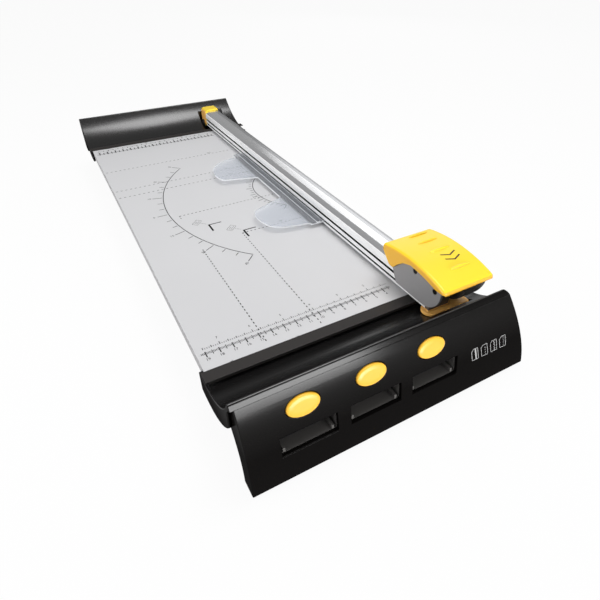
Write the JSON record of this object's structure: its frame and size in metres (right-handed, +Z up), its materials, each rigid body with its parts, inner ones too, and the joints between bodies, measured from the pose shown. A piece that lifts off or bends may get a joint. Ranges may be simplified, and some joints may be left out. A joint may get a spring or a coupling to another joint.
{
  "type": "paper trimmer",
  "caption": "Rotary paper trimmer: printed board between black end caps, hinged rail with a sliding press carriage and round blade, spare cutters behind the front slots.",
  "frame": {"origin": "centre of the footprint, on the table", "axes": "+X to the operator's right, +Y away from the operator along the cut, +Z up"},
  "size_m": [0.238, 0.5914, 0.083],
  "materials": {
    "board": "light grey powder coat, printed rulers and format lines",
    "strip": "soft cutting strip",
    "steel": "zinc plated",
    "trim": "fine texture",
    "black": "gloss black moulding",
    "tray": "plain moulding",
    "rubber": "soft black",
    "bracket": "black",
    "rail": "satin anodised extrusion",
    "yellow": "semi-gloss moulding",
    "clear": "clear moulding",
    "grey": "fine texture",
    "dark": "fine texture",
    "acetal": "natural acetal",
    "holder": "plain moulding",
    "blade": "ground steel"
  },
  "bodies": {
    "base": {"base_board": "board", "cutting_strip": "strip", "strip_channel": "steel", "front_trim": "trim", "rear_trim": "trim", "front_cap": "black", "front_fascia": "black", "rear_cap": "black", "rear_fascia": "black", "storage_tray": "tray", "rubber_feet": "rubber", "cap_screws": "steel", "pivot_bracket": "bracket", "rail_pin": "steel", "button_spring_1": "steel", "button_spring_2": "steel", "button_spring_3": "steel"},
    "rail_body": {"rail": "rail", "rail_rear_cap": "yellow", "rail_front_plug": "dark", "rail_front_block": "yellow"},
    "clamp": {"paper_clamp": "clear"},
    "carriage": {"carriage_plate": "grey", "carriage_body": "dark", "carriage_screws": "steel", "glide_shoes": "acetal", "press_springs": "steel"},
    "press": {"press_cap": "yellow", "cutter_holder": "holder", "cutter_axle": "steel"},
    "blade": {"straight_blade": "blade"},
    "button_1": {"eject_button_1": "yellow"},
    "button_2": {"eject_button_2": "yellow"},
    "button_3": {"eject_button_3": "yellow"},
    "perforating_cartridge": {"perforating_holder": "holder", "perforating_axle": "steel"},
    "perforating_disc": {"perforating_wheel": "blade"},
    "wave_cartridge": {"wave_holder": "holder", "wave_axle": "steel"},
    "wave_disc": {"wave_wheel": "blade"},
    "creasing_cartridge": {"creasing_holder": "holder", "creasing_axle": "steel"},
    "creasing_disc": {"creasing_wheel": "blade"}
  },
  "joints": [
    {"name": "rail_lift", "type": "hinge", "parent": "base", "child": "rail_body", "pos_m": [0.062, 0.258, 0.048], "axis": [-1, 0, 0], "range_deg": [0, 11]},
    {"name": "clamp_lift", "type": "hinge", "parent": "rail_body", "child": "clamp", "pos_m": [0.0535, 0.0055, 0.0506], "axis": [0, 1, 0], "range_deg": [0, 6]},
    {"name": "carriage_slide", "type": "slide", "parent": "rail_body", "child": "carriage", "axis": [0, 1, 0], "range_m": [0, 0.425]},
    {"name": "press", "type": "slide", "parent": "carriage", "child": "press", "axis": [0, 0, -1], "range_m": [0, 0.0025], "stiffness_N_per_m": 2000, "springref_m": -0.002, "deforming": ["press_springs"]},
    {"name": "blade_spin", "type": "hinge", "parent": "press", "child": "blade", "pos_m": [0.08, -0.217, 0.061], "axis": [1, 0, 0], "continuous": true},
    {"name": "button_1_press", "type": "slide", "parent": "base", "child": "button_1", "axis": [0, 0.93, -0.3675], "range_m": [0, 0.0025], "stiffness_N_per_m": 800, "springref_m": -0.0015, "deforming": ["button_spring_1"]},
    {"name": "button_2_press", "type": "slide", "parent": "base", "child": "button_2", "axis": [0, 0.93, -0.3675], "range_m": [0, 0.0025], "stiffness_N_per_m": 800, "springref_m": -0.0015, "deforming": ["button_spring_2"]},
    {"name": "button_3_press", "type": "slide", "parent": "base", "child": "button_3", "axis": [0, 0.93, -0.3675], "range_m": [0, 0.0025], "stiffness_N_per_m": 800, "springref_m": -0.0015, "deforming": ["button_spring_3"]},
    {"name": "perforating_slide", "type": "slide", "parent": "base", "child": "perforating_cartridge", "axis": [0, -1, 0], "range_m": [0, 0.045]},
    {"name": "perforating_spin", "type": "hinge", "parent": "perforating_cartridge", "child": "perforating_disc", "pos_m": [-0.0749, -0.2673, 0.03235], "axis": [0, 0, 1], "continuous": true},
    {"name": "wave_slide", "type": "slide", "parent": "base", "child": "wave_cartridge", "axis": [0, -1, 0], "range_m": [0, 0.045]},
    {"name": "wave_spin", "type": "hinge", "parent": "wave_cartridge", "child": "wave_disc", "pos_m": [-0.0257, -0.2673, 0.03235], "axis": [0, 0, 1], "continuous": true},
    {"name": "creasing_slide", "type": "slide", "parent": "base", "child": "creasing_cartridge", "axis": [0, -1, 0], "range_m": [0, 0.045]},
    {"name": "creasing_spin", "type": "hinge", "parent": "creasing_cartridge", "child": "creasing_disc", "pos_m": [0.0235, -0.2673, 0.03235], "axis": [0, 0, 1], "continuous": true}
  ]
}
